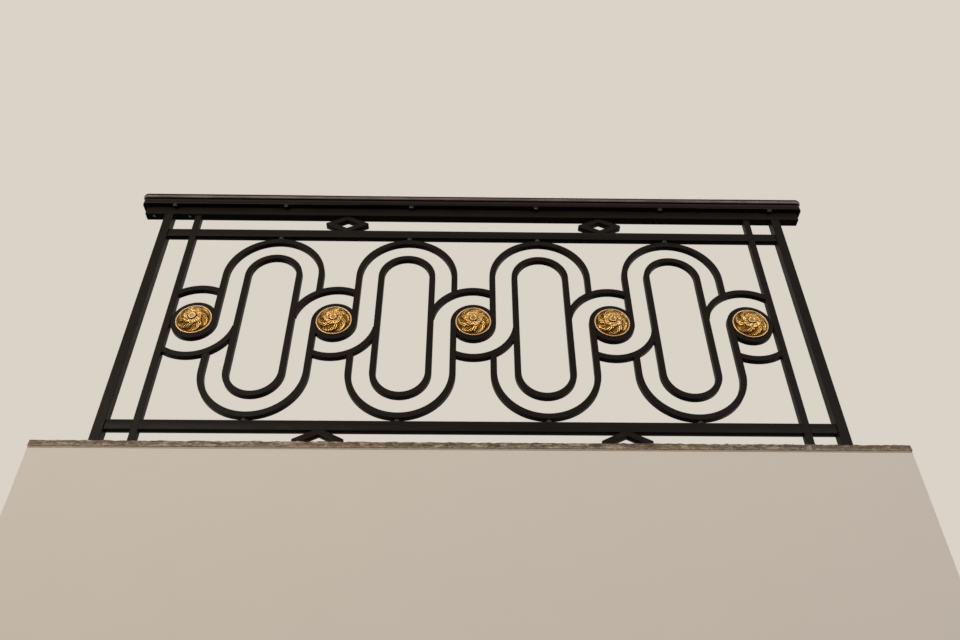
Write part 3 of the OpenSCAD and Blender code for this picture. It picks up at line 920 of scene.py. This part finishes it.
class BALCONY_OT_stage(bpy.types.Operator):
    """Set up the floor, the block under the sill, the lamps, the backdrop and the camera"""

    bl_idname = "balcony.stage"
    bl_label = "Stage"

    eye_height: bpy.props.FloatProperty(
        name="Eye height", description="Height of the camera over the floor", default=1.6,
        subtype="DISTANCE", unit="LENGTH")

    def plain(self, name, seen):
        """Plain matt plaster. The camera sees a share of the backdrop's colour added to it."""
        colours = bpy.context.scene.balcony_colours
        finish, add, place = new_finish(name)
        # It throws back little light, so that undersides stay as dark as over a deep street.
        # It is mottled, in patches of 170 mm.
        to_camera = add("LightPath").outputs["Is Camera Ray"]
        bounce = add("MapRange", {0: to_camera, 3: 0.25})
        mottle = add("TexNoise", {"Vector": place, "Scale": 6.0, "Detail": 4.0})
        shade = add("MapRange", {0: mottle, 3: 0.97})
        shade = add("Math", {0: shade, 1: bounce}, operation="MULTIPLY")
        tone = add("Mix", {0: 1.0, 6: colours.stage, 7: shade}, data_type="RGBA",
                   blend_type="MULTIPLY")
        glow = add("Math", {0: to_camera, 1: seen}, operation="MULTIPLY")
        shader = add("BsdfPrincipled", {
            "Base Color": tone, "Roughness": 0.9, "Specular IOR Level": 0.1,
            "Emission Color": colours.backdrop, "Emission Strength": glow})
        add("OutputMaterial", {"Surface": shader})
        return finish

    def mortar(self):
        """Lime mortar: pale and dull, with darker damp spots of 17 mm."""
        colours = bpy.context.scene.balcony_colours
        finish, add, place = new_finish("lime_mortar")
        damp = add("TexNoise", {"Vector": place, "Scale": 60.0, "Detail": 6.0})
        shade = add("MapRange", {0: damp, 1: 0.3, 2: 0.7, 3: 0.8})
        tone = add("Mix", {0: 1.0, 6: colours.mortar, 7: shade}, data_type="RGBA",
                   blend_type="MULTIPLY")
        shader = add("BsdfPrincipled", {
            "Base Color": tone, "Roughness": 0.9, "Specular IOR Level": 0.1})
        add("OutputMaterial", {"Surface": shader})
        return finish

    def backdrop(self, context):
        """A pale backdrop for the camera and for mirrors, and a softer light from all round."""
        colours = context.scene.balcony_colours
        world = bpy.data.worlds.new("studio")
        context.scene.world = world
        world.use_nodes = True
        tree = world.node_tree
        tree.nodes.clear()
        add = functools.partial(add_node, tree)
        rays = add("LightPath").outputs
        seen = rays["Is Camera Ray"]
        for kind in ("Is Glossy Ray", "Is Transmission Ray"):
            seen = add("Math", {0: seen, 1: rays[kind]}, operation="MAXIMUM")
        light = add("Background", {"Color": linear("f2ede6"), "Strength": 0.38})
        shown = add("Background", {"Color": colours.backdrop, "Strength": 1.0})
        both = add("MixShader", {0: seen, 1: light, 2: shown})
        add("OutputWorld", {"Surface": both})

    def lamp(self, name, place, aim, width, height, watts, tint):
        """A soft rectangular lamp that looks at a point."""
        data = bpy.data.lights.new(name, "AREA")
        data.shape = "RECTANGLE"
        data.size, data.size_y = width, height
        data.energy = watts
        data.color = linear(tint)[:3]
        lamp = bpy.data.objects.new(name, data)
        bpy.context.scene.collection.objects.link(lamp)
        lamp.location = place
        lamp.rotation_euler = (Vector(aim) - Vector(place)).to_track_quat("-Z", "Y").to_euler()

    def camera(self, context):
        """The photo's viewpoint: below and in front, looking up by 40 degrees."""
        data = bpy.data.cameras.new("camera")
        data.sensor_width = 36
        data.lens = 31.71
        camera = bpy.data.objects.new("camera", data)
        context.scene.collection.objects.link(camera)
        context.scene.camera = camera
        place = Vector((-0.0168, -2.1178, -1.2374))
        pitch, yaw, roll = (math.radians(a) for a in (39.72, 1.046, -0.206))
        ahead = Vector((math.sin(yaw) * math.cos(pitch), math.cos(yaw) * math.cos(pitch),
                        math.sin(pitch)))
        right = Vector((math.cos(yaw), -math.sin(yaw), 0))
        up = right.cross(ahead)
        right, up = (right * math.cos(roll) + up * math.sin(roll),
                     up * math.cos(roll) - right * math.sin(roll))
        camera.matrix_world = Matrix.Translation(place) @ Matrix(
            (right, up, -ahead)).transposed().to_4x4()
        return place.z - self.eye_height

    def execute(self, context):
        context.scene.view_settings.view_transform = "Standard"
        floor_z = self.camera(context)
        low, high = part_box("sill")
        start_afresh()
        bpy.ops.mesh.primitive_grid_add(x_subdivisions=8, y_subdivisions=8, size=24,
                                        location=(0, 0, floor_z))
        floor = opened("floor")
        start_afresh()
        painted(floor, self.plain("matt_plaster_floor", 0.4))
        # The block stands in for the wall, and the sill lies on it in 6 mm of mortar
        inset = 1.5 * MM
        top = low.z - 0.2 * MM
        joint = top - 6 * MM
        for name, base, crown, finish in (
                ("mortar_bed", joint, top, self.mortar()),
                ("block", floor_z, joint, self.plain("matt_plaster_block", 0.12))):
            slab = block(name, (0, 0, (base + crown) / 2),
                         (high.x - low.x - 2 * inset, high.y - low.y - 2 * inset, crown - base))
            bpy.ops.mesh.select_all(action="SELECT")
            bpy.ops.mesh.bevel(offset=0.5 * MM, segments=2, affect="EDGES")
            start_afresh()
            painted(slab, finish)
        self.backdrop(context)
        aim = middle("rosette_3")
        # None stands where the flat fronts or the posts' sides would mirror it to the camera
        self.lamp("key", (-2.8, -4.8, 1.7), aim, 3.2, 2.2, 150, "fff6ea")
        self.lamp("fill", (3.4, -4.4, 1.4), aim, 2.6, 2.0, 75, "f4f6ff")
        self.lamp("top", (0.3, 0.9, 5.4), aim, 3.6, 2.2, 130, "fffaf2")
        return {"FINISHED"}


class BALCONY_PT_pieces(bpy.types.Panel):
    """Lists the balcony's pieces and their settings"""

    bl_idname = "BALCONY_PT_pieces"
    bl_label = "Balcony"
    bl_space_type = "VIEW_3D"
    bl_region_type = "UI"
    bl_category = "Balcony"

    def draw(self, context):
        column = self.layout.column()
        for operator in OPERATORS:
            column.operator(operator.bl_idname)
        for group in (context.scene.balcony_rosettes, context.scene.balcony_fittings,
                      context.scene.balcony_colours):
            for name in group.bl_rna.properties.keys():
                if name not in ("rna_type", "name"):
                    column.prop(group, name)


OPERATORS = (BALCONY_OT_stage, BALCONY_OT_paint, BALCONY_OT_sill, BALCONY_OT_rails,
             BALCONY_OT_lozenges, BALCONY_OT_cap, BALCONY_OT_cap_screws,
             BALCONY_OT_bar_screws, BALCONY_OT_rosettes)
CLASSES = (BalconyColours, BalconyRosettes, BalconyFittings) + OPERATORS + (BALCONY_PT_pieces,)


def register():
    for cls in CLASSES:
        bpy.utils.register_class(cls)
    bpy.types.Scene.balcony_colours = bpy.props.PointerProperty(type=BalconyColours)
    bpy.types.Scene.balcony_rosettes = bpy.props.PointerProperty(type=BalconyRosettes)
    bpy.types.Scene.balcony_fittings = bpy.props.PointerProperty(type=BalconyFittings)


def unregister():
    del bpy.types.Scene.balcony_fittings
    del bpy.types.Scene.balcony_rosettes
    del bpy.types.Scene.balcony_colours
    for cls in reversed(CLASSES):
        bpy.utils.unregister_class(cls)


def main():
    register()
    bpy.ops.balcony.stage()
    bpy.ops.balcony.paint()
    bpy.ops.balcony.sill()
    bpy.ops.balcony.rails()
    bpy.ops.balcony.lozenges()
    bpy.ops.balcony.cap()
    bpy.ops.balcony.cap_screws()
    bpy.ops.balcony.bar_screws()
    bpy.ops.balcony.rosettes()
    start_afresh()


if __name__ == "__main__":
    main()
